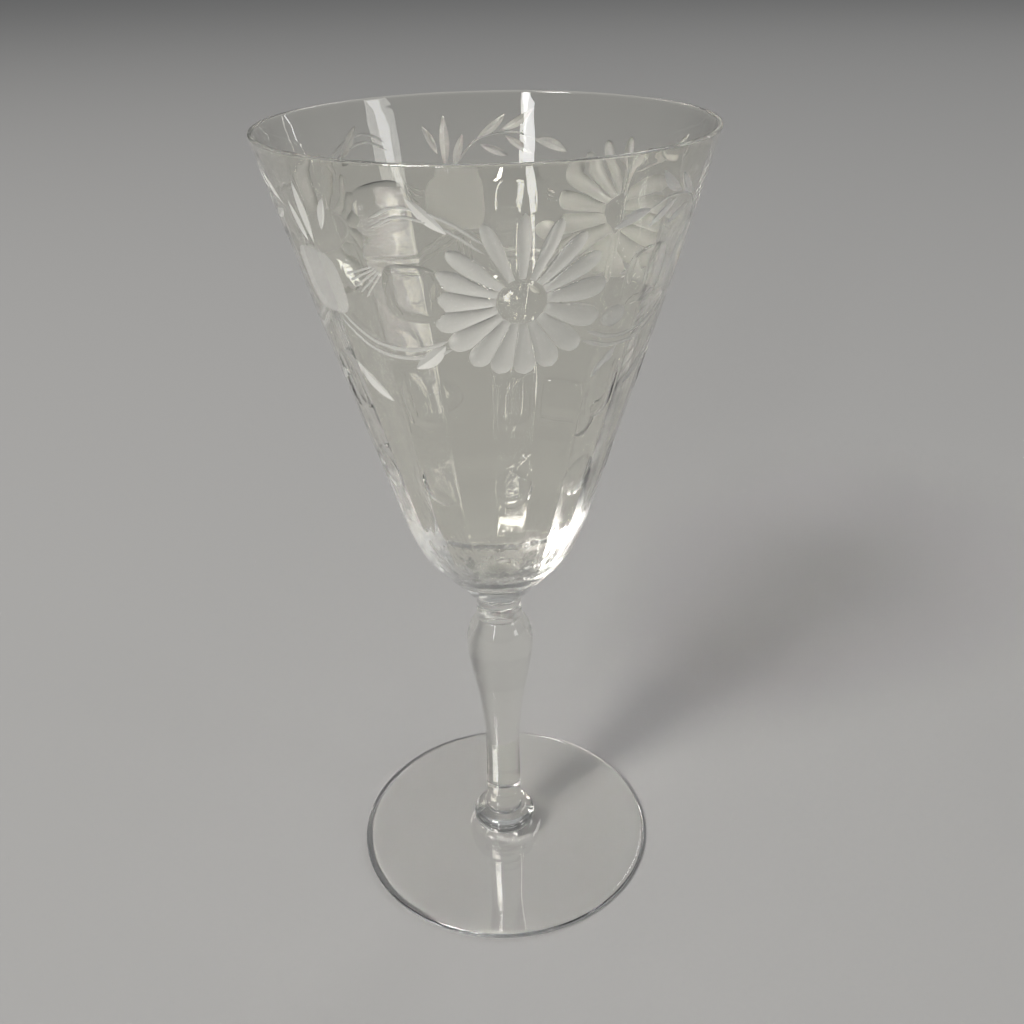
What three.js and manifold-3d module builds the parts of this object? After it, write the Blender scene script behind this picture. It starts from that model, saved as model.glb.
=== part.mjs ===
// Stemmed wine glass: a hand-made goblet with a tall conical bowl, a short collar,
// a baluster stem, a button knop and a round foot. Millimetres, +Z up.
// The origin is the centre of the foot's underside, where the glass stands.

import * as THREE from 'three';
import { mergeVertices } from 'three/addons/utils/BufferGeometryUtils.js';
import Module from 'manifold-3d';

// ---- driving dimensions ----------------------------------------------------

const HEIGHT = 190;            // table to the top of the rim
const RIM_RADIUS = 46.6;       // outside of the rim
const RIM_WALL = 1.1;          // wall thickness just under the rim
const FOOT_RADIUS = 39;
const FOOT_EDGE = 1.9;         // thickness of the foot at its edge
const FOOT_CENTRE = 3.2;       // thickness of the foot under the knop

const JOINT_GAP = 0.3;         // clearance that keeps neighbouring solids apart
const KNOP_RADIUS = 8.3;
const KNOP_TOP = 9.2;          // where the knop's button meets its short post
const POST_TOP = 14.6;         // top of the post, where the stem is joined
const POST_RADIUS = 4.6;
const STEM_TOP = 72.7;
const SHOULDER_RADIUS = 8.4;   // widest part of the stem
const SHOULDER_Z = 65;
const NECK_RADIUS = 4.55;      // narrowest part of the stem
const COLLAR_TOP = 79.5;
const COLLAR_RADIUS = 5.7;
const BOWL_FLOOR = 86.1;       // inside bottom of the bowl

const BOWL_SEGMENTS = 72;
const STEM_SEGMENTS = 40;

// Polished cuts on the outside of the bowl: a ring of tall olives, each with a round
// punty below it. Sizes are those of the finished cut.
const CUT_COUNT = 11;
const CUT_START = 7.5;         // azimuth of the first pair, from -Y towards +X, degrees
const OLIVE = { z: 142.6, width: 7.4, height: 13.5, depth: 0.5 };
const PUNTY = { z: 121, width: 8.2, height: 10.5, depth: 0.55 };
const WHEEL_REACH = 6;         // half thickness of the egg-shaped wheel that cuts them
const WHEEL_SEGMENTS = 36;

// ---- materials -------------------------------------------------------------

function clearGlass(color) {
  return new THREE.MeshStandardMaterial({
    color,
    roughness: 0.04,
    metalness: 0,
    transparent: true,
    opacity: 0.4,
  });
}

// ---- profile helpers: every profile point is (radius, height) ---------------

function point(radius, z) {
  return new THREE.Vector2(radius, z);
}

// A smooth line through a few chosen points.
function smooth(steps, ...pairs) {
  const curve = new THREE.SplineCurve(pairs.map(([radius, z]) => point(radius, z)));
  return curve.getPoints(steps);
}

// A round stretch about a centre, from one angle to another, in degrees.
function arc(radius, z, reachRadius, reachZ, from, to, steps) {
  const curve = new THREE.EllipseCurve(radius, z, reachRadius, reachZ,
    THREE.MathUtils.degToRad(from), THREE.MathUtils.degToRad(to), to < from, 0);
  return curve.getPoints(steps);
}

// Turns a profile, listed from the bottom of the axis round to the top, into a solid
// that stands on +Z.
function turned(profile, segments) {
  const isNew = (p, i) => i === 0 || p.distanceTo(profile[i - 1]) > 0.01;
  const distinct = profile.filter(isNew);
  const geometry = new THREE.LatheGeometry(distinct, segments);
  geometry.rotateX(Math.PI / 2);
  return geometry;
}

// ---- profiles ----------------------------------------------------------------

function footProfile() {
  const half = FOOT_EDGE / 2;
  const edge = arc(FOOT_RADIUS - 1.1, half, 1.1, half, -90, 90, 6);
  const fillet = smooth(9,
    [13, 2.03], [11, 2.08], [9.6, 2.26], [8.5, 2.66], [7.4, 3.05], [5.2, FOOT_CENTRE]);
  return [point(0, 0), ...edge, point(30, 1.93), point(20, 1.98), ...fillet, point(0, FOOT_CENTRE)];
}

function knopProfile() {
  const bottom = FOOT_CENTRE + JOINT_GAP;
  const middle = (bottom + KNOP_TOP) / 2;
  const bulge = arc(5.2, middle, KNOP_RADIUS - 5.2, KNOP_TOP - middle, -90, 90, 10);
  return [
    point(0, bottom),
    ...bulge,
    point(POST_RADIUS, KNOP_TOP + 0.4),
    point(POST_RADIUS, POST_TOP - 0.4),
    point(POST_RADIUS - 0.4, POST_TOP),
    point(0, POST_TOP),
  ];
}

function stemProfile() {
  const bottom = POST_TOP + JOINT_GAP;
  const outline = smooth(20,
    [4.2, bottom], [4.72, bottom + 1.6], [NECK_RADIUS, 24], [4.6, 35], [5.95, 48], [7.7, 58],
    [SHOULDER_RADIUS, SHOULDER_Z], [7.6, 69.2], [5.75, STEM_TOP]);
  return [point(0, bottom), ...outline, point(0, STEM_TOP)];
}

function collarProfile() {
  const bottom = STEM_TOP + JOINT_GAP;
  const outline = smooth(7, [COLLAR_RADIUS, bottom], [5.5, 75.5], [5.7, 78], [6.5, COLLAR_TOP]);
  return [point(0, bottom), ...outline, point(0, COLLAR_TOP)];
}

function bowlProfile() {
  const bottom = COLLAR_TOP + JOINT_GAP;
  const lip = RIM_WALL / 2;
  const base = smooth(10, [6.9, bottom], [9.9, 83], [15.8, 90], [19.1, 95.2], [21.8, 102.4]);
  const cone = smooth(5, [21.8, 102.4], [24.5, 111.5], [35.8, 150], [RIM_RADIUS, HEIGHT - lip]);
  const rim = arc(RIM_RADIUS - lip, HEIGHT - lip, lip, lip, 0, 180, 4);
  const wall = smooth(5,
    [RIM_RADIUS - RIM_WALL, HEIGHT - lip], [34.5, 150], [22.8, 111.5], [19.2, 102.4]);
  const floor = smooth(9, [19.2, 102.4], [15.9, 95.6], [11.6, 90], [7.2, 87.1], [0, BOWL_FLOOR]);
  return [point(0, bottom), ...base, ...cone, ...rim, ...wall, ...floor];
}

// ---- polished cuts -----------------------------------------------------------

const wasm = await Module();
wasm.setup();

function toSolid(geometry) {
  const plain = geometry.clone();
  plain.deleteAttribute('normal');
  plain.deleteAttribute('uv');
  const merged = mergeVertices(plain, 1e-4);
  return new wasm.Manifold(new wasm.Mesh({
    numProp: 3,
    vertProperties: Float32Array.from(merged.attributes.position.array),
    triVerts: Uint32Array.from(merged.index.array),
  }));
}

function toGeometry(solid) {
  const mesh = solid.getMesh();
  const geometry = new THREE.BufferGeometry();
  geometry.setAttribute('position', new THREE.BufferAttribute(mesh.vertProperties, 3));
  geometry.setIndex(new THREE.BufferAttribute(mesh.triVerts, 1));
  geometry.computeVertexNormals();
  return geometry;
}

// The outside radius of the bowl at a height, read from its own profile.
function outsideRadius(z) {
  const wall = bowlProfile();
  const next = wall.findIndex((p) => p.y >= z);
  const low = wall[next - 1];
  const high = wall[next];
  return low.x + (high.x - low.x) * (z - low.y) / (high.y - low.y);
}

// An egg-shaped wheel that leaves a shallow hollow of the given width, height and
// depth where it bites into the wall.
function cutter({ z, width, height, depth }, azimuth) {
  const wall = outsideRadius(z);
  const lean = Math.atan2(outsideRadius(z + 4) - outsideRadius(z - 4), 8);
  const across = 1 / (8 * depth / width ** 2 - 1 / wall);
  const along = height ** 2 / (8 * depth);
  const wheel = new THREE.SphereGeometry(1, WHEEL_SEGMENTS, WHEEL_SEGMENTS / 2);
  wheel.rotateX(Math.PI / 2);
  wheel.scale(Math.sqrt(across * WHEEL_REACH), WHEEL_REACH, Math.sqrt(along * WHEEL_REACH));
  wheel.translate(0, -(WHEEL_REACH - depth), 0);
  wheel.rotateX(lean);
  wheel.translate(0, -wall, z);
  wheel.rotateZ(THREE.MathUtils.degToRad(azimuth));
  return toSolid(wheel);
}

function cutBowl(geometry) {
  let solid = toSolid(geometry);
  for (let i = 0; i < CUT_COUNT; i += 1) {
    const azimuth = CUT_START + i * 360 / CUT_COUNT;
    for (const cut of [OLIVE, PUNTY]) {
      solid = solid.subtract(cutter(cut, azimuth));
    }
  }
  return toGeometry(solid);
}

// ---- assembly ----------------------------------------------------------------

function piece(name, geometry, color) {
  const mesh = new THREE.Mesh(geometry, clearGlass(color));
  mesh.name = name;
  return mesh;
}

const glass = new THREE.Group();
glass.add(
  piece('foot', turned(footProfile(), BOWL_SEGMENTS), 0xe6e9e3),
  piece('foot_knop', turned(knopProfile(), STEM_SEGMENTS), 0xe2e6dc),
  piece('stem', turned(stemProfile(), STEM_SEGMENTS), 0xe6e9e3),
  piece('collar', turned(collarProfile(), STEM_SEGMENTS), 0xe2e6dc),
  piece('bowl', cutBowl(turned(bowlProfile(), BOWL_SEGMENTS)), 0xebece8),
);

export default glass;
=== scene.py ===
"""Looks of a stemmed wine glass: a cut and engraved conical bowl on a collar, a baluster
stem, a button knop and a round foot. Sizes of the glass are in millimetres and become
metres when a mesh is made, and those of the studio are in metres. Azimuth 0 faces the
camera's side (-Y) and grows towards +X.
"""

import math

import bpy
import numpy as np
from mathutils import Matrix, Vector
from mathutils.geometry import delaunay_2d_cdt
from mathutils.kdtree import KDTree


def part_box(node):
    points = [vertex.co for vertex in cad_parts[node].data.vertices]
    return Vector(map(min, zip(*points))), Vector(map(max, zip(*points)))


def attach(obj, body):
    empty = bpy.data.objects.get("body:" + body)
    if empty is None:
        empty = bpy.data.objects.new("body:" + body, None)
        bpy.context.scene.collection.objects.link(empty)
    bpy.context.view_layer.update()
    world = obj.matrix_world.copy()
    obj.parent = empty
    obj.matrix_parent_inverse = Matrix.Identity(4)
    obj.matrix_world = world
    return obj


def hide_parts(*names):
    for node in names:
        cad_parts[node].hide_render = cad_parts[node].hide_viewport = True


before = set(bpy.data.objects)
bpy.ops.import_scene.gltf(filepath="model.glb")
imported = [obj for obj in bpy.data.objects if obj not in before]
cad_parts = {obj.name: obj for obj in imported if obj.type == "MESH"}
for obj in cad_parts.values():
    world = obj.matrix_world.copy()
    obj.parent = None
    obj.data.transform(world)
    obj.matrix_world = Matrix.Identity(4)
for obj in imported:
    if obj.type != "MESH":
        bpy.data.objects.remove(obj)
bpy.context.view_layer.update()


MM = 0.001

# ---- heights and radii of the five pieces, from the CAD frame ------------------------------

FOOT_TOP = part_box("foot")[1][2] / MM
POST_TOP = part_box("foot_knop")[1][2] / MM
STEM_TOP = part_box("stem")[1][2] / MM
COLLAR_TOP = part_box("collar")[1][2] / MM
RIM_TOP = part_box("bowl")[1][2] / MM
RIM_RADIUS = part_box("bowl")[1][0] / MM
FOOT_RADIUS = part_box("foot")[1][0] / MM
KNOP_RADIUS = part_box("foot_knop")[1][0] / MM

HAIRLINE = 0.02                 # what is left of the CAD's joint gaps
KNOP_SEAT = FOOT_TOP + HAIRLINE
STEM_SEAT = POST_TOP + HAIRLINE
COLLAR_SEAT = STEM_TOP + HAIRLINE
BOWL_SEAT = COLLAR_TOP + HAIRLINE

# ---- small helpers -------------------------------------------------------------------------


def through(points, steps):
    """A smooth line through a few chosen (radius, height) points."""
    p = np.array(points, float)
    ends = [2 * p[0] - p[1]], [2 * p[-1] - p[-2]]
    p = np.concatenate([ends[0], p, ends[1]])
    t = np.linspace(0, 1, steps, endpoint=False)[:, None]
    spans = []
    for a, b, c, d in zip(p, p[1:], p[2:], p[3:]):
        spans.append(0.5 * (2 * b + (c - a) * t + (2 * a - 5 * b + 4 * c - d) * t ** 2
                            + (3 * b - a - 3 * c + d) * t ** 3))
    return np.concatenate(spans + [p[-2:-1]])


def arc(centre, reach, start, end, steps):
    """A round stretch of outline about a centre, angles in degrees."""
    angle = np.radians(np.linspace(start, end, steps + 1))
    return np.stack([centre[0] + reach[0] * np.cos(angle),
                     centre[1] + reach[1] * np.sin(angle)], 1)


def outward(points):
    """The unit normal at each point of a profile that runs up the outside."""
    step = np.gradient(np.asarray(points), axis=0)
    normal = np.stack([step[:, 1], -step[:, 0]], 1)
    return normal / np.linalg.norm(normal, axis=1, keepdims=True)


def spun(radius, height, azimuth):
    """Points in space of a radius and height at azimuths in radians."""
    return np.stack([radius * np.sin(azimuth), -radius * np.cos(azimuth),
                     np.broadcast_to(height, np.shape(azimuth))], -1)


OLIVE_COUNT = 11                # polished cuts in a ring round the bowl
OLIVE_START = 7.5               # azimuth of the first, degrees
ON_AXIS = 1e-6                  # a ring smaller than this shrinks to one point


def ring_azimuths(segments):
    """Even azimuths round a ring, in radians, from the first olive on."""
    return math.radians(OLIVE_START) + np.arange(segments) * 2 * math.pi / segments


# ---- a closed shell, built run by run -----------------------------------------------------


class Shell:
    """Collects the faces of one closed piece, with a normal for each face corner."""

    def __init__(self, segments):
        self.azimuth = ring_azimuths(segments)
        self.vertices = []
        self.faces = []
        self.finishes = []
        self.normals = []

    def add(self, points):
        """Adds points and returns their vertex numbers."""
        first = len(self.vertices)
        self.vertices.extend(np.asarray(points).tolist())
        return list(range(first, first + len(points)))

    def ring(self, radius, height):
        """Vertex numbers of a ring, or of the one point that a ring on the axis shrinks to."""
        if np.max(radius) < ON_AXIS:
            return self.add([(0.0, 0.0, height)]) * len(self.azimuth)
        return self.add(spun(radius, height, self.azimuth))

    def face(self, corners, finish, normals):
        """Adds a face with its material slot and a normal for each of its corners."""
        self.faces.append(corners)
        self.finishes.append(finish)
        self.normals.extend(normals)

    def sweep(self, points, finish, first=None, last=None, relief=None):
        """Sweeps a stretch of profile round the axis and returns its end rings. The profile
        runs up the outside and down the inside. Relief gives what a row adds to its radius
        at each azimuth, and the slope of that."""
        slopes = outward(points)
        level = np.zeros_like(self.azimuth)
        rings = []
        slants = []
        for k, (radius, height) in enumerate(points):
            extra, turn = relief(self.azimuth, k) if relief else (0.0, 0.0)
            if k == 0 and first:
                rings.append(first)
            elif k == len(points) - 1 and last:
                rings.append(last)
            else:
                rings.append(self.ring(radius + extra, height))
            across = level - slopes[k, 0] * turn / max(radius, 1.0)
            slants.append(np.stack([
                slopes[k, 0] * np.sin(self.azimuth) + across * np.cos(self.azimuth),
                -slopes[k, 0] * np.cos(self.azimuth) + across * np.sin(self.azimuth),
                level + slopes[k, 1]], 1).tolist())
        count = len(self.azimuth)
        for k in range(1, len(points)):
            for i in range(count):
                j = (i + 1) % count
                corners = [(k - 1, i), (k - 1, j), (k, j), (k, i)]
                names = [rings[row][column] for row, column in corners]
                kept = [n for n in range(4) if names[n] != names[n - 1]]
                self.face([names[n] for n in kept], finish,
                          [slants[corners[n][0]][corners[n][1]] for n in kept])
        return rings[0], rings[-1]

    def piece(self, name, materials):
        """Turns the shell into a mesh object in metres."""
        mesh = bpy.data.meshes.new(name)
        mesh.from_pydata((np.array(self.vertices) * MM).tolist(), [], self.faces)
        for material in materials:
            mesh.materials.append(material)
        mesh.polygons.foreach_set("material_index", self.finishes)
        mesh.polygons.foreach_set("use_smooth", [True] * len(mesh.polygons))
        mesh.update()
        mesh.normals_split_custom_set(self.normals)
        made = bpy.data.objects.new(name, mesh)
        bpy.context.scene.collection.objects.link(made)
        return made


def disc(radius, height, top=False):
    """The flat run under a piece, from the axis out, or on top of it, from the edge in."""
    ends = [(0, height), (radius, height)]
    return np.array(ends[::-1] if top else ends)


def turned(name, runs, materials, segments=128):
    """A solid of revolution from (profile stretch, finish) runs, with a crease between runs."""
    shell = Shell(segments)
    last = None
    for points, finish in runs:
        last = shell.sweep(points, finish, first=last)[1]
    return shell.piece(name, materials)


# ---- the bowl's outside wall --------------------------------------------------------------

CLEAR, FROSTED, JOINT, LEAFY = 0, 1, 2, 3  # material slots of the bowl
LIP = 0.55                                 # half the wall's thickness at the rim
BOWL_OUTSIDE = [(6.9, BOWL_SEAT), (9.9, 83), (15.8, 90), (19.1, 95.2), (21.8, 102.4),
                (24.5, 111.5), (35.8, 150), (RIM_RADIUS, RIM_TOP - LIP)]
BOWL_INSIDE = [(45.5, RIM_TOP - LIP), (34.5, 150), (22.8, 111.5), (19.2, 102.4), (15.9, 95.6),
               (11.6, 90), (7.2, 87.1), (0, 86.1)]
BAND_LOW = 108.0                           # the cuts lie between these heights
BAND_HIGH = 187.0
BOWL_SEGMENTS = 264
WALL = through(BOWL_OUTSIDE, 24)
WALL_SLOPE = np.gradient(WALL[:, 0], WALL[:, 1])
UP_SLOPE = math.cos(math.radians(16))      # height gained per millimetre up the wall


def wall_radius(z):
    """Outside radius of the bare wall at a height."""
    return np.interp(z, WALL[:, 1], WALL[:, 0])


def wall_frame(azimuth, z):
    """Place, outward normal, sideways and upslope directions of points on the bare wall."""
    zero = np.zeros_like(azimuth)
    radial = np.stack([np.sin(azimuth), -np.cos(azimuth), zero], -1)
    side = np.stack([np.cos(azimuth), np.sin(azimuth), zero], -1)
    lean = np.arctan(np.interp(z, WALL[:, 1], WALL_SLOPE))[..., None]
    up = np.array([0, 0, 1.0])
    normal = radial * np.cos(lean) - up * np.sin(lean)
    slope = radial * np.sin(lean) + up * np.cos(lean)
    return spun(wall_radius(z), z, azimuth), normal, side, slope


# The wall unrolls onto a flat ring with every small shape kept true: a step up the wall
# over the radius there becomes a step in the logarithm of the ring's own radius.
UNROLL_Z = np.linspace(BAND_LOW, BAND_HIGH, 400)
UNROLL_STEP = np.hypot(1, np.interp(UNROLL_Z, WALL[:, 1], WALL_SLOPE)) / wall_radius(UNROLL_Z)
UNROLL = np.concatenate([[0], np.cumsum((UNROLL_STEP[1:] + UNROLL_STEP[:-1]) / 2)])
UNROLL *= UNROLL_Z[1] - UNROLL_Z[0]


def unroll(azimuth, z):
    """Places on the flat ring of points on the wall."""
    reach = np.exp(np.interp(z, UNROLL_Z, UNROLL))
    return np.stack([reach * np.cos(azimuth), -reach * np.sin(azimuth)], -1)


def roll_up(flat):
    """Azimuth in radians and height of places on the flat ring."""
    reach = np.maximum(np.hypot(flat[..., 0], flat[..., 1]), 1.0)
    azimuth = np.arctan2(-flat[..., 1], flat[..., 0])
    return azimuth, np.interp(np.log(reach), UNROLL, UNROLL_Z)


# ---- cuts in the wall ---------------------------------------------------------------------

GRID_ROW = 0.866                # rows of a triangular grid, in grains apart
EDGE_ROOM = 0.45                # how near a loop its filling comes, in grains
FINE = 0.5                      # point spacing in most cuts
FINER = 0.45                    # point spacing in leaves and polished rings


class Cut:
    """One ground mark, or half of a leaf. Its loop and depth are in millimetres sideways (u)
    and upslope (v) of its centre. The depth is a function of u and v that falls to nothing
    at the edge of the mark."""

    def __init__(self, azimuth, z, loop, depth, finish, grain):
        self.azimuth = math.radians(azimuth)
        self.z = z
        self.loop = np.array(loop)
        self.depth = depth
        self.finish = finish
        self.grain = grain

    def locate(self, azimuth, z):
        """Local (u, v) of points given by azimuth in radians and height."""
        turn = (azimuth - self.azimuth + math.pi) % (2 * math.pi) - math.pi
        return turn * wall_radius(z), (z - self.z) / UP_SLOPE

    def place(self, local):
        """Azimuth in radians and height of local points."""
        z = self.z + local[:, 1] * UP_SLOPE
        return self.azimuth + local[:, 0] / wall_radius(z), z

    def holds(self, azimuth, z):
        """Numbers of the points that lie inside the loop."""
        local = np.stack(self.locate(azimuth, z), 1)
        middle = (self.loop.min(0) + self.loop.max(0)) / 2
        near = (np.abs(local - middle) < np.ptp(self.loop, axis=0) / 2).all(1)
        where = np.flatnonzero(near)
        return where[inside(self.loop, local[where])]

    def depth_at(self, azimuth, z):
        """Depth at points given by azimuth in radians and height."""
        return self.depth(*self.locate(azimuth, z))

    def rolled_loop(self):
        """The loop's places on the flat ring."""
        azimuth, z = self.place(self.loop)
        return unroll(azimuth, z)

    def filling(self):
        """Points spread inside the loop, a grain apart, on a triangular grid."""
        low = self.loop.min(0) + self.grain * 0.5
        high = self.loop.max(0)
        rows = np.arange(low[1], high[1], self.grain * GRID_ROW)
        grid = []
        for n, v in enumerate(rows):
            u = np.arange(low[0] + (n % 2) * self.grain / 2, high[0], self.grain)
            grid.append(np.stack([u, np.full_like(u, v)], 1))
        if not grid:
            return np.empty((0, 2))
        grid = np.concatenate(grid)
        grid = grid[inside(self.loop, grid)]
        if not len(grid):
            return grid
        return grid[edge_distance(self.loop, grid) > self.grain * EDGE_ROOM]


def inside(loop, points):
    """Which points lie inside a closed loop, by counting the sides crossed."""
    ax, ay = loop[:, 0], loop[:, 1]
    bx, by = np.roll(ax, -1), np.roll(ay, -1)
    px, py = points[:, 0, None], points[:, 1, None]
    spans = (ay > py) != (by > py)
    rise = np.where(by == ay, 1e-12, by - ay)
    return (spans & (px < ax + (py - ay) * (bx - ax) / rise)).sum(1) % 2 == 1


def edge_distance(line, points, closed=True):
    """Distance from each point to the nearest side of a line of points."""
    start = line if closed else line[:-1]
    end = np.roll(line, -1, 0) if closed else line[1:]
    side = end - start
    reach = points[:, None] - start
    share = (reach * side).sum(2) / np.maximum((side ** 2).sum(1), 1e-12)
    gap = reach - np.clip(share, 0, 1)[..., None] * side
    return np.sqrt((gap ** 2).sum(2)).min(1)


def spread(line, gap):
    """The same open line with points about a gap apart."""
    line = np.array(line, float)
    length = np.concatenate([[0], np.cumsum(np.hypot(*np.diff(line, axis=0).T))])
    where = np.linspace(0, length[-1], max(2, int(round(length[-1] / gap)) + 1))
    return np.stack([np.interp(where, length, line[:, k]) for k in (0, 1)], 1)


# Half width along a petal, both as shares of the most.
PETAL_PLAN = [(0, 0.45), (0.2, 0.68), (0.5, 0.95), (0.7, 1.0), (0.85, 0.86), (0.95, 0.55),
              (1.0, 0.0)]
PETAL_GAP = 0.04                # plain wall between two petals, each side
PETAL_THIN = 0.25               # least half widths that a depth is worked out with
LEAF_THIN = 0.12


def petal(azimuth, z, angle, reach, half_width, room, deep):
    """A concave ground petal that points away from a flower's centre at an angle. Room is
    the slope of the line that parts it from its neighbour, on its right and on its left."""
    plan = through(PETAL_PLAN, 6)
    start, end = reach
    turn = math.radians(angle)
    c, s = math.cos(turn), math.sin(turn)
    middle = (start + end) / 2

    def width(a, left):
        free = half_width * np.interp((a - start) / (end - start), plan[:, 0], plan[:, 1])
        return np.minimum(free, np.where(left, room[1], room[0]) * a - PETAL_GAP)

    along = spread(np.stack([start + (end - start) * plan[:, 0], half_width * plan[:, 1]], 1),
                   FINER)[:, 0]
    right = np.stack([along, -width(along, False)], 1)
    left = np.stack([along, width(along, True)], 1)
    loop = np.concatenate([right, left[-2::-1]])
    turned_loop = np.stack([c * loop[:, 0] - s * loop[:, 1], s * loop[:, 0] + c * loop[:, 1]], 1)

    def depth(u, v):
        a = c * u + s * v
        b = c * v - s * u
        ends = np.clip(1 - np.abs((a - middle) / (end - middle)) ** 4, 0, None)
        return deep * ends * (1 - (b / np.maximum(width(a, b > 0), PETAL_THIN)) ** 2)

    return Cut(azimuth, z, turned_loop, depth, FROSTED, FINE)


def hollow(azimuth, z, half_width, half_height, squareness, deep, finish, grain=0.6, dish=2.0):
    """A hollow from a broad wheel: oval at squareness 2, squarer above, and flatter in the
    middle the higher dish is."""
    steps = int(2 * math.pi * max(half_width, half_height) / FINE)
    t = np.arange(steps) * 2 * math.pi / steps
    c, s = np.cos(t), np.sin(t)
    loop = np.stack([half_width * np.sign(c) * np.abs(c) ** (2 / squareness),
                     half_height * np.sign(s) * np.abs(s) ** (2 / squareness)], 1)

    def depth(u, v):
        reach = (np.abs(u / half_width) ** squareness
                 + np.abs(v / half_height) ** squareness) ** (1 / squareness)
        return deep * (1 - reach ** dish)

    return Cut(azimuth, z, loop, depth, finish, grain)


def leaf(tail, tip, half_width, bend=0.0, deep=0.38):
    """The two halves of a leaf from tail to tip, both (azimuth, height), cut as a mitre
    with a crease down its middle. Bend bows the leaf to its left."""
    azimuth = (tail[0] + tip[0]) / 2
    z = (tail[1] + tip[1]) / 2
    ends = []
    for where in (tail, tip):
        ends.append((math.radians(where[0] - azimuth) * wall_radius(where[1]),
                     (where[1] - z) / UP_SLOPE))
    a, b = np.array(ends)
    length = math.hypot(*(b - a))
    along = (b - a) / length
    across = np.array([-along[1], along[0]])
    t = np.linspace(0, 1, max(6, int(length / 0.55)) + 1)
    rise = np.sin(math.pi * t)
    spine = a + np.outer(t * length, along) + np.outer(bend * rise, across)
    plump = half_width * rise ** 0.8

    def depth_for(side):
        def depth(u, v):
            x = (u - a[0]) * along[0] + (v - a[1]) * along[1]
            y = (u - a[0]) * across[0] + (v - a[1]) * across[1]
            share = np.clip(x / length, 0.001, 0.999)
            bow = np.sin(math.pi * share)
            width = np.maximum(half_width * bow ** 0.8, LEAF_THIN)
            off = y - bend * bow
            return deep * bow ** 0.5 * (1 - side * off / width)
        return depth

    left = spine + across * plump[:, None]
    right = spine - across * plump[:, None]
    halves = []
    for side, loop in ((1, np.concatenate([spine, left[-2:0:-1]])),
                       (-1, np.concatenate([right, spine[-2:0:-1]]))):
        halves.append(Cut(azimuth, z, loop, depth_for(side), LEAFY, FINER))
    return halves


def line_cut(points, half_width, deep=0.1):
    """A thin line ground through a few (azimuth, height) points, tapered at both ends."""
    azimuth, z = points[len(points) // 2]
    local = [(math.radians(p[0] - azimuth) * wall_radius(p[1]), (p[1] - z) / UP_SLOPE)
             for p in points]
    spine = spread(through(local, 8) if len(local) > 2 else local, 0.8)
    step = np.gradient(spine, axis=0)
    across = np.stack([-step[:, 1], step[:, 0]], 1) / np.hypot(*step.T)[:, None]
    taper = np.clip(np.sin(np.linspace(0, math.pi, len(spine))) * 4, 0.0, 1)
    taper = half_width * taper[:, None]
    loop = np.concatenate([spine - across * taper, (spine + across * taper)[-2:0:-1]])

    def depth(u, v):
        flat = np.stack([np.ravel(u), np.ravel(v)], 1)
        gap = edge_distance(spine, flat, closed=False).reshape(np.shape(u))
        return deep * (1 - (gap / half_width) ** 2)

    return [Cut(azimuth, z, loop, depth, FROSTED, FINE)]


# ---- the engraved garland: three daisies, and what hangs between them ----------------------

DAISIES = [8.0, 131.0, 248.0]              # azimuths of the flower centres, degrees
DAISY_Z = 165.0
PETAL_ANGLES = [90, 67, 48, 29, 6, -20, -45, -67, -86, -104, -122, -143, -162, 179, 161, 143,
                115]
PETAL_ROOT = 4.6                           # distances from a daisy's centre
PETAL_TIP = 16.6
HEAD_TURN = 60                             # from a daisy to the flower head after it


def daisy(azimuth):
    """A daisy with a polished eye. Its upper petals are slimmer and a little longer."""
    cuts = []
    count = len(PETAL_ANGLES)
    for k, angle in enumerate(PETAL_ANGLES):
        after = (PETAL_ANGLES[k - 1] - angle) % 360
        before = (angle - PETAL_ANGLES[(k + 1) % count]) % 360
        rise = math.sin(math.radians(angle))
        room = [math.tan(math.radians(gap / 2)) for gap in (before, after)]
        reach = PETAL_ROOT, PETAL_TIP + 0.6 * rise
        half_width = 2.35 - 1.05 * max(rise, 0)
        cuts.append(petal(azimuth, DAISY_Z, angle, reach, half_width, room, 0.5))
    cuts.append(hollow(azimuth, DAISY_Z, 4.2, 3.8, 2.0, 0.22, CLEAR, FINE))
    return cuts


def flower_head(azimuth):
    """A squared ground head on three fine stalks."""
    cuts = [hollow(azimuth, 165.7, 6.6, 6.6, 3.4, 0.35, FROSTED, 0.6, 2.5)]
    for lean in (-1, 0, 1):
        cuts += line_cut([(azimuth + 1.8 * lean, 158), (azimuth + 1.2 * lean, 150)], 0.22, 0.06)
    return cuts


def swags(azimuth, side):
    """What hangs on one side of a daisy: a square polished punty, two swags and a leaf.
    Side is 1 on the right and -1 on the left."""

    def at(turn, z):
        return azimuth + side * turn, z

    punty_turn = 38 if side > 0 else 28
    cuts = [hollow(*at(punty_turn, 166.3), 6.0, 6.0, 3.2, 0.42, CLEAR, FINE, 5.0)]
    cuts += line_cut([at(20, 157), at(31, 154.6), at(44, 155.2), at(56, 160)], 0.48)
    cuts += line_cut([at(19, 155.2), at(31, 152.8), at(45, 153.4), at(58, 159)], 0.48)
    cuts += leaf(at(57, 149), at(44, 141.5), 1.5, 0.5 * side)
    return cuts


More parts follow.
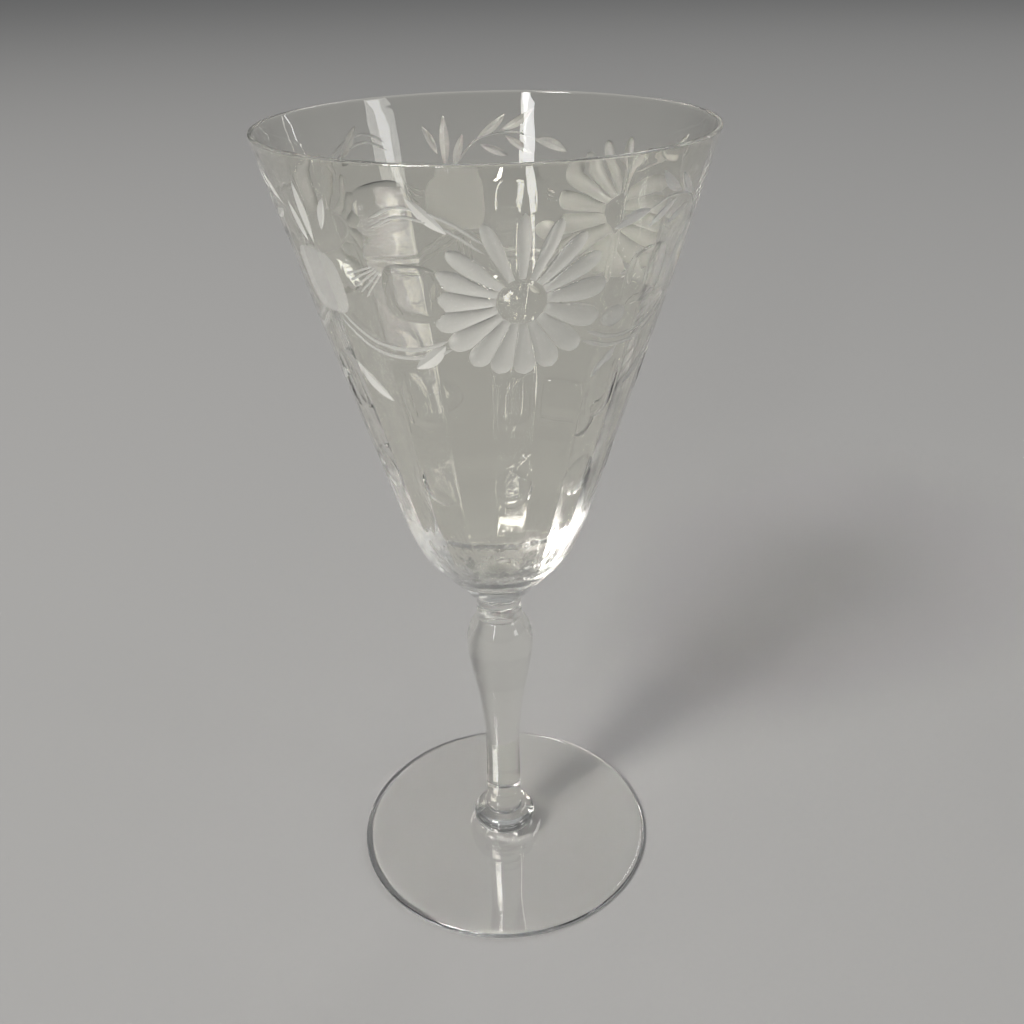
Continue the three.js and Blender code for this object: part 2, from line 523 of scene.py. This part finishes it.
def twig(azimuth):
    """The leafy twig at the upper right of a daisy, and a leaf below it."""

    def at(turn, z):
        return azimuth + turn, z

    cuts = line_cut([at(59, 174), at(52, 179.3), at(41, 180.8), at(33, 179.3)], 0.2, 0.07)
    cuts += leaf(at(52, 179.6), at(43, 184.7), 0.95, 0.4)
    cuts += leaf(at(44.5, 181.2), at(34.5, 186), 1.0, 0.6)
    cuts += leaf(at(33.4, 179.2), at(22.5, 176.8), 1.2, -0.5)
    cuts += leaf(at(51, 178.2), at(42, 175.6), 0.9)
    cuts += leaf(at(43, 180), at(34, 176), 0.9)
    cuts += leaf(at(60, 173.4), at(56.5, 180.5), 1.0)
    cuts += leaf(at(62.6, 173.4), at(62, 184.8), 1.2)
    cuts += leaf(at(41.5, 170.5), at(37, 161.5), 1.1)
    return cuts


def tendrils(azimuth):
    """Two fine arcs and three leaves to the left of a daisy."""
    cuts = []
    for drop in (0, 1.7):
        cuts += line_cut([(azimuth - 9, 176 - drop), (azimuth - 18, 180.5 - drop),
                          (azimuth - 28, 182.5 - drop), (azimuth - 36, 180 - drop)], 0.3, 0.08)
    cuts += leaf((azimuth - 52, 176.5), (azimuth - 48, 182.8), 0.9, 0.2)
    cuts += leaf((azimuth - 17.5, 178), (azimuth - 26, 184.4), 1.1, 0.3)
    cuts += leaf((azimuth - 21, 156), (azimuth - 31.5, 150.4), 1.5, 0.3)
    return cuts


def bud(azimuth):
    """An oval bud above the swags to the right of a daisy, and a leaf below them."""
    return ([hollow(azimuth + 28.7, 159.2, 2.9, 2.3, 2.0, 0.3, FROSTED, FINE)]
            + leaf((azimuth + 33, 152.3), (azimuth + 25, 146.3), 1.3, 0.3))


GRASS_RADIUS = 41               # of the wall near the tufts


def grass(azimuth, z, reach):
    """Five fine strokes that fan out down and to the left."""
    cuts = []
    for k in range(5):
        swing = math.radians(200 + 11 * k)
        tip = (azimuth + math.degrees(reach * math.cos(swing) / GRASS_RADIUS),
               z + reach * math.sin(swing) * UP_SLOPE)
        cuts += line_cut([(azimuth + 0.5 * k, z - 0.3 * k), tip], 0.24, 0.07)
    return cuts


def garland():
    """All the engraving: the same group of marks three times round the bowl."""
    cuts = []
    for azimuth in DAISIES:
        cuts += daisy(azimuth) + flower_head(azimuth + HEAD_TURN)
        cuts += swags(azimuth, 1) + swags(azimuth, -1)
        cuts += twig(azimuth) + tendrils(azimuth) + bud(azimuth)
        cuts += grass(azimuth + 34.5, 169.5, 5.5) + grass(azimuth - 38, 171, 7.5)
    return cuts


OLIVE_Z = 142.6
PUNTY_Z = 121


def lower_rings():
    """The two polished rings under the garland: tall olives, and round punties below."""
    cuts = []
    for k in range(OLIVE_COUNT):
        azimuth = OLIVE_START + 360 * k / OLIVE_COUNT
        cuts.append(hollow(azimuth, OLIVE_Z, 3.7, 6.9, 2.8, 0.5, CLEAR, FINER, 4.0))
        cuts.append(hollow(azimuth, PUNTY_Z, 4.1, 5.4, 2.0, 0.55, CLEAR, FINER, 4.0))
    return cuts


# ---- the bowl -----------------------------------------------------------------------------

PANELS = 2 * OLIVE_COUNT                   # upright panels inside, every other behind an olive
PANEL_RELIEF = 0.28
PANEL_START = 88                           # the panels fade in from here up
PANEL_RISE = 30
CLEAR_STEP = 1.35                          # point spacing on plain wall
CLEAR_ROW = 0.84                           # rows of those points, in steps apart
MERGE_GAP = 2e-4                           # points nearer than this on the flat ring are one
SLOPE_STEP = 0.02                          # distance over which a cut's slope is measured
STEEPEST = 1.2                             # limits of a cut's slope and depth
DEEPEST = 0.8
BAND_ROOM = 0.3                            # least step from the band's edges to the next ring
BASE_RADIUS = 6.3                          # of the joint under the bowl


def panels(azimuth, z):
    """Inner relief and its slope: nearly flat panels that meet in soft outward ridges, and
    grow weaker towards the rim."""
    rise = np.clip((z - PANEL_START) / PANEL_RISE, 0, 1)
    fade = rise ** 2 * (3 - 2 * rise) * np.interp(z, [150, 189], [1, 0.4])
    pitch = 2 * math.pi / PANELS
    place = (azimuth - math.radians(OLIVE_START)) / pitch
    across = 2 * (place - np.round(place))
    ridge = np.abs(np.abs(across) - 1) < 1e-3
    return (PANEL_RELIEF * fade * (across ** 2 - 1),
            np.where(ridge, 0.0, PANEL_RELIEF * fade * 4 * across / pitch))


def wall_points(cuts):
    """Points that fill the wall's band, outlines first, with each outline's numbers."""
    ring = ring_azimuths(BOWL_SEGMENTS)
    low = unroll(ring, np.full(BOWL_SEGMENTS, BAND_LOW))
    high = unroll(ring, np.full(BOWL_SEGMENTS, BAND_HIGH))
    groups = [low, high]
    loops = []
    count = 2 * BOWL_SEGMENTS
    for cut in cuts:
        loops.append(list(range(count, count + len(cut.loop))))
        groups.append(cut.rolled_loop())
        count += len(cut.loop)
    outlines = np.concatenate(groups)
    azimuth, z = roll_up(outlines)
    places = spun(wall_radius(z), z, azimuth)
    tree = KDTree(len(places))
    for n, place in enumerate(places):
        tree.insert(place, n)
    tree.balance()

    plain = []
    rows = int((BAND_HIGH - BAND_LOW) / (CLEAR_STEP * CLEAR_ROW))
    for n in range(1, rows):
        z = BAND_LOW + (BAND_HIGH - BAND_LOW) * n / rows
        count = int(2 * math.pi * wall_radius(z) / CLEAR_STEP)
        turn = (np.arange(count) + 0.5 * (n % 2)) * 2 * math.pi / count
        plain.append(np.stack([turn, np.full(count, z)], 1))
    plain = np.concatenate(plain)
    keep = np.ones(len(plain), bool)
    for cut in cuts:
        keep[cut.holds(plain[:, 0], plain[:, 1])] = False
    plain = plain[keep]
    spots = spun(wall_radius(plain[:, 1]), plain[:, 1], plain[:, 0])
    clear = [tree.find(spot)[2] > CLEAR_STEP * 0.5 for spot in spots]
    plain = plain[clear]

    fine = []
    for cut in cuts:
        points = cut.filling()
        if len(points):
            azimuth, z = cut.place(points)
            fine.append(unroll(azimuth, z))
    return np.concatenate([outlines, unroll(plain[:, 0], plain[:, 1])] + fine), loops


def engraved_wall(shell, cuts):
    """Adds the cut band of the outside wall and returns its bottom and top rings."""
    points, loops = wall_points(cuts)
    n = BOWL_SEGMENTS
    rims = [(i, (i + 1) % n) for i in range(n)] + [(n + i, n + (i + 1) % n) for i in range(n)]
    sides = []
    for loop in loops:
        sides += [(loop[k - 1], loop[k]) for k in range(len(loop))]
    flat, _, faces, sources, _, _ = delaunay_2d_cdt(
        [Vector(p) for p in points], rims + sides, [], 0, MERGE_GAP, True)
    flat = np.array([tuple(p) for p in flat])
    azimuth, z = roll_up(flat)
    place, normal, side, slope = wall_frame(azimuth, z)
    faces = np.array(faces)
    corner = flat[faces]
    middle = corner.mean(1)
    one = corner[:, 1] - corner[:, 0]
    two = corner[:, 2] - corner[:, 0]
    flip = one[:, 0] * two[:, 1] - one[:, 1] * two[:, 0] < 0
    faces[flip] = faces[flip][:, ::-1]

    # The flat ring's hub is no part of the wall, so its faces are dropped.
    beyond_hub = np.hypot(middle[:, 0], middle[:, 1]) > math.cos(math.pi / n)
    faces = faces[beyond_hub]
    middle_azimuth, middle_z = roll_up(middle[beyond_hub])

    # The deepest cut that a face lies in owns it.
    owner_of = np.full(len(faces), -1)
    deepest = np.full(len(faces), -1.0)
    for number, cut in enumerate(cuts):
        where = cut.holds(middle_azimuth, middle_z)
        depth = cut.depth_at(middle_azimuth[where], middle_z[where])
        better = depth > deepest[where]
        owner_of[where[better]] = number
        deepest[where[better]] = depth[better]

    # The corners sink by the depth of their cut, and their normals tilt by its slope.
    sunk = np.zeros(len(flat))
    tilt = normal[faces].copy()
    for number, cut in enumerate(cuts):
        where = np.flatnonzero(owner_of == number)
        if not len(where):
            continue
        corners = faces[where]
        u, v = cut.locate(azimuth[corners], z[corners])
        depth = cut.depth(u, v)
        np.maximum.at(sunk, corners.ravel(), depth.ravel())
        h = SLOPE_STEP
        du = (cut.depth(u + h, v) - cut.depth(u - h, v)) / (2 * h)
        dv = (cut.depth(u, v + h) - cut.depth(u, v - h)) / (2 * h)
        steepness = np.maximum(np.hypot(du, dv), 1e-9)
        scale = (np.minimum(steepness, STEEPEST) / steepness)[..., None]
        tilt[where] += scale * (du[..., None] * side[corners] + dv[..., None] * slope[corners])
    tilt /= np.linalg.norm(tilt, axis=2, keepdims=True)
    place = place - normal * np.clip(sunk, 0, DEEPEST)[:, None]

    numbers = shell.add(place)
    finish = [cuts[k].finish if k >= 0 else CLEAR for k in owner_of]
    for corners, kind, slants in zip(faces.tolist(), finish, tilt.tolist()):
        shell.face([numbers[c] for c in corners], kind, slants)
    ring_of = {}
    for new, old in enumerate(sources):
        for k in old:
            ring_of[k] = numbers[new]
    return [ring_of[i] for i in range(n)], [ring_of[n + i] for i in range(n)]


def build_bowl(materials):
    """The bowl, swept in runs from its joint up the outside, over the rim and down inside."""
    shell = Shell(BOWL_SEGMENTS)
    low, high = engraved_wall(shell, lower_rings() + garland())
    under = shell.sweep(disc(BASE_RADIUS, BOWL_SEAT), JOINT)[1]
    groove = [(BASE_RADIUS, BOWL_SEAT), (6.75, BOWL_SEAT + 0.12), (7.0, BOWL_SEAT + 0.3)]
    lower = WALL[(WALL[:, 1] > BOWL_SEAT + 0.45) & (WALL[:, 1] < BAND_LOW - BAND_ROOM)]
    lower = np.concatenate([groove, lower, [(wall_radius(BAND_LOW), BAND_LOW)]])
    shell.sweep(lower, CLEAR, first=under, last=low)
    top = WALL[WALL[:, 1] > BAND_HIGH + BAND_ROOM]
    rim = arc((RIM_RADIUS - LIP, RIM_TOP - LIP), (LIP, LIP), 0, 180, 8)
    inner = through(BOWL_INSIDE, 20)
    outer_end = np.concatenate([[(wall_radius(BAND_HIGH), BAND_HIGH)], top[:-1]])
    upper = np.concatenate([outer_end, rim, inner[1:]])
    first_inner = len(outer_end) + len(rim)

    def relief(azimuth, row):
        """Panels on the inside rows only."""
        return panels(azimuth, upper[row, 1]) if row >= first_inner else (0.0, 0.0)

    shell.sweep(upper, CLEAR, first=high, relief=relief)
    return shell.piece("bowl_body", materials)


# ---- collar, stem, knop and foot ----------------------------------------------------------

SIDE, SEAM = 0, 1               # material slots of the pieces below the bowl
COLLAR_FOOT = 5.0               # radii of the pieces where they are joined
COLLAR_HEAD = 6.3
STEM_FOOT = 4.2
STEM_HEAD = 5.0
KNOP_FOOT = 5.2
POST_HEAD = 4.2
KNOP_LOW = 3.5                  # heights of the knop's round bulge
KNOP_HIGH = 9.2
FOOT_EDGE = 1.9                 # thickness of the foot at its edge
FOOT_ROUND = 1.1                # how far the edge is rounded inwards


def build_collar(materials):
    """The short waisted wafer under the bowl."""
    side = through([(COLLAR_FOOT, COLLAR_SEAT), (5.55, COLLAR_SEAT + 0.15),
                    (5.7, COLLAR_SEAT + 0.6), (5.5, 75.5), (5.7, 78), (6.5, COLLAR_TOP - 0.5),
                    (COLLAR_HEAD, COLLAR_TOP)], 8)
    return turned("collar_body", [
        (disc(COLLAR_FOOT, COLLAR_SEAT), SEAM),
        (side, SIDE),
        (disc(COLLAR_HEAD, COLLAR_TOP, top=True), SEAM)], materials)


def build_stem(materials):
    """The baluster: a slim neck that swells to a high shoulder."""
    side = through([(STEM_FOOT, STEM_SEAT), (4.55, STEM_SEAT + 0.2), (4.72, 16.5), (4.55, 24),
                    (4.6, 35), (5.95, 48), (7.7, 58), (8.4, 65), (7.6, 69.2), (5.95, 72.1),
                    (5.6, STEM_TOP - 0.15), (STEM_HEAD, STEM_TOP)], 10)
    return turned("stem_body", [
        (disc(STEM_FOOT, STEM_SEAT), SEAM),
        (side, SIDE),
        (disc(STEM_HEAD, STEM_TOP, top=True), SEAM)], materials)


def build_knop(materials):
    """The button knop and the short post on it."""
    middle = (KNOP_LOW + KNOP_HIGH) / 2
    bulge = arc((KNOP_FOOT, middle), (KNOP_RADIUS - KNOP_FOOT, KNOP_HIGH - middle), -90, 90, 28)
    post = through([(KNOP_FOOT, KNOP_HIGH), (4.75, 9.5), (4.6, 10.4), (4.6, 13.2),
                    (POST_HEAD, POST_TOP)], 6)
    return turned("knop_body", [
        (disc(KNOP_FOOT, KNOP_SEAT), SEAM),
        (np.concatenate([[(KNOP_FOOT, KNOP_SEAT)], bulge[1:]]), SIDE),
        (post, SIDE),
        (disc(POST_HEAD, POST_TOP, top=True), SEAM)], materials)


def build_foot(materials):
    """The foot: a nearly flat disc that rises to the knop in a short curve."""
    flat = FOOT_RADIUS - FOOT_ROUND
    edge = arc((flat, FOOT_EDGE / 2), (FOOT_ROUND, FOOT_EDGE / 2), -90, 90, 16)
    top = through([(flat, FOOT_EDGE), (30, 1.93), (20, 1.98), (13, 2.03), (11, 2.08),
                   (9.6, 2.26), (8.5, 2.66), (7.4, 3.05), (KNOP_FOOT, FOOT_TOP)], 8)
    return turned("foot_body", [
        (disc(flat, 0), SIDE),
        (np.concatenate([edge, top[1:]]), SIDE),
        (disc(KNOP_FOOT, FOOT_TOP, top=True), SEAM)], materials, 256)


# ---- materials ----------------------------------------------------------------------------

STREAK_STOPS = [(86, 0), (94, 1), (101, 1), (126, 0)]      # strength at heights up the bowl


def streak_height(nodes, links, coordinates):
    """Fine upright drawing marks, seen only low on the bowl, where its wall thickens."""
    stretch = nodes.new("ShaderNodeMapping")
    stretch.inputs["Scale"].default_value = (1, 1, 0.1)
    stretch.inputs["Rotation"].default_value = (0, 0.12, 0.08)
    marks = nodes.new("ShaderNodeTexNoise")
    marks.inputs["Scale"].default_value = 600
    marks.inputs["Detail"].default_value = 2
    low, high = STREAK_STOPS[0][0], STREAK_STOPS[-1][0]
    split = nodes.new("ShaderNodeSeparateXYZ")
    share = nodes.new("ShaderNodeMapRange")
    share.inputs["From Min"].default_value = low * MM
    share.inputs["From Max"].default_value = high * MM
    strength = nodes.new("ShaderNodeValToRGB")
    strength.color_ramp.interpolation = "EASE"
    stops = strength.color_ramp.elements
    for height, _ in STREAK_STOPS[1:-1]:
        stops.new((height - low) / (high - low))
    for stop, (_, value) in zip(stops, STREAK_STOPS):
        stop.color = (value, value, value, 1)
    faded = nodes.new("ShaderNodeMath")
    faded.operation = "MULTIPLY"
    links.new(coordinates.outputs["Object"], stretch.inputs["Vector"])
    links.new(stretch.outputs["Vector"], marks.inputs["Vector"])
    links.new(coordinates.outputs["Object"], split.inputs["Vector"])
    links.new(split.outputs["Z"], share.inputs["Value"])
    links.new(share.outputs["Result"], strength.inputs["Fac"])
    links.new(marks.outputs["Fac"], faded.inputs[0])
    links.new(strength.outputs["Color"], faded.inputs[1])
    return faded.outputs["Value"]


def glass_material(name, tint, wobble, roughness=(0.0, 0.02), ior=1.52, streaks=0):
    """Clear hand-blown glass with a faint uneven film of handling marks. Wobble is the
    unevenness of its surface and streaks that of its drawing marks, in millimetres."""
    material = bpy.data.materials.new(name)
    material.use_nodes = True
    nodes = material.node_tree.nodes
    links = material.node_tree.links
    shader = nodes["Principled BSDF"]
    shader.inputs["Base Color"].default_value = (*tint, 1)
    shader.inputs["Transmission Weight"].default_value = 1.0
    shader.inputs["IOR"].default_value = ior
    coordinates = nodes.new("ShaderNodeTexCoord")
    smears = nodes.new("ShaderNodeTexNoise")
    smears.inputs["Scale"].default_value = 70
    smears.inputs["Detail"].default_value = 5
    film = nodes.new("ShaderNodeMapRange")
    film.inputs["From Min"].default_value = 0.45
    film.inputs["From Max"].default_value = 0.8
    film.inputs["To Min"].default_value = roughness[0]
    film.inputs["To Max"].default_value = roughness[1]
    links.new(coordinates.outputs["Object"], smears.inputs["Vector"])
    links.new(smears.outputs["Fac"], film.inputs["Value"])
    links.new(film.outputs["Result"], shader.inputs["Roughness"])
    if wobble:
        waves = nodes.new("ShaderNodeTexNoise")
        waves.inputs["Scale"].default_value = 130
        waves.inputs["Detail"].default_value = 1.5
        bump = nodes.new("ShaderNodeBump")
        bump.inputs["Distance"].default_value = wobble * MM
        links.new(coordinates.outputs["Object"], waves.inputs["Vector"])
        links.new(waves.outputs["Fac"], bump.inputs["Height"])
        links.new(bump.outputs["Normal"], shader.inputs["Normal"])
        if streaks:
            fine = nodes.new("ShaderNodeBump")
            fine.inputs["Distance"].default_value = streaks * MM
            links.new(streak_height(nodes, links, coordinates), fine.inputs["Height"])
            links.new(bump.outputs["Normal"], fine.inputs["Normal"])
            links.new(fine.outputs["Normal"], shader.inputs["Normal"])
    return material


def frosted_material(name, see_through):
    """Ground glass as the wheel leaves it: whitish, satin, finely grained and partly
    see-through."""
    material = bpy.data.materials.new(name)
    material.use_nodes = True
    nodes = material.node_tree.nodes
    links = material.node_tree.links
    shader = nodes["Principled BSDF"]
    shader.inputs["Transmission Weight"].default_value = see_through
    shader.inputs["IOR"].default_value = 1.45
    coordinates = nodes.new("ShaderNodeTexCoord")
    grain = nodes.new("ShaderNodeTexNoise")
    grain.inputs["Scale"].default_value = 9000
    grain.inputs["Detail"].default_value = 3
    colours = nodes.new("ShaderNodeValToRGB")
    colours.color_ramp.elements[0].position = 0.35
    colours.color_ramp.elements[0].color = (0.88, 0.88, 0.84, 1)
    colours.color_ramp.elements[1].position = 0.65
    colours.color_ramp.elements[1].color = (0.98, 0.98, 0.95, 1)
    satin = nodes.new("ShaderNodeMapRange")
    satin.inputs["To Min"].default_value = 0.2
    satin.inputs["To Max"].default_value = 0.3
    bump = nodes.new("ShaderNodeBump")
    bump.inputs["Strength"].default_value = 0.15
    bump.inputs["Distance"].default_value = 0.1 * MM
    links.new(coordinates.outputs["Object"], grain.inputs["Vector"])
    links.new(grain.outputs["Fac"], colours.inputs["Fac"])
    links.new(grain.outputs["Fac"], satin.inputs["Value"])
    links.new(grain.outputs["Fac"], bump.inputs["Height"])
    links.new(colours.outputs["Color"], shader.inputs["Base Color"])
    links.new(satin.outputs["Result"], shader.inputs["Roughness"])
    links.new(bump.outputs["Normal"], shader.inputs["Normal"])
    return material


def floor_material():
    """A plain pale matt floor."""
    material = bpy.data.materials.new("studio_floor")
    material.use_nodes = True
    nodes = material.node_tree.nodes
    shader = nodes["Principled BSDF"]
    shader.inputs["Roughness"].default_value = 0.9
    shader.inputs["Specular IOR Level"].default_value = 0.1
    shader.inputs["Base Color"].default_value = (0.39, 0.388, 0.385, 1)
    return material


# ---- studio -------------------------------------------------------------------------------

CAMERA_PLACE = (0.0, -0.2235, 0.2223)
CAMERA_TILT = 61.55             # degrees, 90 is level
CAMERA_YAW = -0.95
CAMERA_ROLL = -1.14
CAMERA_LENS = 37.44             # millimetres, on a sensor 36 wide
LIGHT_AIM = (0, 0, 0.16)        # the lights face the upper half of the bowl
FLOOR_SIZE = 16
FLOOR_DROP = 0.0002             # how far the floor lies under the foot


def add_camera():
    """The camera, a little above the rim and looking down at the glass."""
    data = bpy.data.cameras.new("camera")
    data.sensor_width = 36
    data.lens = CAMERA_LENS
    data.clip_start = 0.01
    camera = bpy.data.objects.new("camera", data)
    bpy.context.scene.collection.objects.link(camera)
    turn = (Matrix.Rotation(math.radians(CAMERA_YAW), 4, "Z")
            @ Matrix.Rotation(math.radians(CAMERA_TILT), 4, "X")
            @ Matrix.Rotation(math.radians(CAMERA_ROLL), 4, "Z"))
    camera.matrix_world = Matrix.Translation(CAMERA_PLACE) @ turn
    bpy.context.scene.camera = camera


def area_light(name, azimuth, elevation, distance, size, power, colour=(1, 1, 1)):
    """A soft box that faces the bowl from an azimuth and elevation in degrees. Its distance
    and size are in metres, and the camera doesn't see it straight."""
    data = bpy.data.lights.new(name, "AREA")
    data.shape = "RECTANGLE"
    data.size, data.size_y = size
    data.energy = power
    data.color = colour
    light = bpy.data.objects.new(name, data)
    bpy.context.scene.collection.objects.link(light)
    turn, rise = math.radians(azimuth), math.radians(elevation)
    away = Vector((math.sin(turn) * math.cos(rise), -math.cos(turn) * math.cos(rise),
                   math.sin(rise)))
    light.location = Vector(LIGHT_AIM) + distance * away
    light.rotation_euler = away.to_track_quat("Z", "Y").to_euler()
    light.visible_camera = False


def add_floor():
    """The studio floor, a hair under the foot."""
    bpy.ops.mesh.primitive_plane_add(size=FLOOR_SIZE, location=(0, 0, -FLOOR_DROP))
    floor = bpy.context.object
    floor.name = "studio_floor"
    floor.data.materials.append(floor_material())


def add_world():
    """A soft surround, dim at the level of the floor and pale overhead."""
    world = bpy.data.worlds.new("studio")
    bpy.context.scene.world = world
    world.use_nodes = True
    nodes = world.node_tree.nodes
    links = world.node_tree.links
    background = nodes["Background"]
    coordinates = nodes.new("ShaderNodeTexCoord")
    split = nodes.new("ShaderNodeSeparateXYZ")
    shade = nodes.new("ShaderNodeValToRGB")
    shade.color_ramp.elements[0].position = 0.0
    shade.color_ramp.elements[0].color = (0.1, 0.102, 0.105, 1)
    shade.color_ramp.elements[1].position = 0.75
    shade.color_ramp.elements[1].color = (0.6, 0.61, 0.62, 1)
    links.new(coordinates.outputs["Generated"], split.inputs["Vector"])
    links.new(split.outputs["Z"], shade.inputs["Fac"])
    links.new(shade.outputs["Color"], background.inputs["Color"])


def add_lights():
    """The key and fill light the scene. The other boxes are there for their reflections: a
    tall strip and a window in the bowl, a thin line at its left edge, and a line in the foot."""
    area_light("key", -45, 43, 3.6, (1.0, 1.0), 212, (1, 0.97, 0.93))
    area_light("strip", -23, 21, 3.6, (0.25, 1.5), 25)
    area_light("window", 62, 13, 3.4, (0.8, 0.9), 18)
    area_light("fill", 70, 55, 3.4, (2.4, 2.4), 4)
    area_light("back_strip", 129, 6, 3.4, (0.035, 0.8), 1.3)
    area_light("far_box", 150, 46, 3.6, (0.9, 0.9), 17)


# ---- the scene ----------------------------------------------------------------------------


def settings():
    """Plain colours, and enough bounces for light to pass through all the glass."""
    scene = bpy.context.scene
    scene.view_settings.view_transform = "Standard"
    scene.view_settings.exposure = -0.85
    scene.cycles.max_bounces = 32
    scene.cycles.transmission_bounces = 32
    scene.cycles.glossy_bounces = 32
    scene.cycles.diffuse_bounces = 3
    scene.cycles.sample_clamp_indirect = 0
    scene.cycles.blur_glossy = 0


def main():
    """Sets up the studio, then makes each piece and hands it to the frame."""
    add_camera()
    add_floor()
    add_world()
    add_lights()
    settings()
    joint = glass_material("fused_joint", (1, 1, 1), 0, (0, 0), 1.0)
    petals = frosted_material("ground_glass", 0.72)
    leaves = frosted_material("leaf_glass", 0.5)
    bowl_glass = glass_material("bowl_glass", (0.984, 0.98, 0.935), 0.035, streaks=0.12)
    stem_glass = glass_material("stem_glass", (0.985, 0.985, 0.95), 0.03)
    foot_glass = glass_material("foot_glass", (0.99, 0.99, 0.975), 0.001)
    for made, node, slot in (
            (build_bowl([bowl_glass, petals, joint, leaves]), "bowl", "bowl_glass"),
            (build_collar([stem_glass, joint]), "collar", "stem_glass"),
            (build_stem([stem_glass, joint]), "stem", "stem_glass"),
            (build_knop([stem_glass, joint]), "foot_knop", "stem_glass"),
            (build_foot([foot_glass, joint]), "foot", "foot_glass")):
        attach(made, "root")
        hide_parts(node)


main()
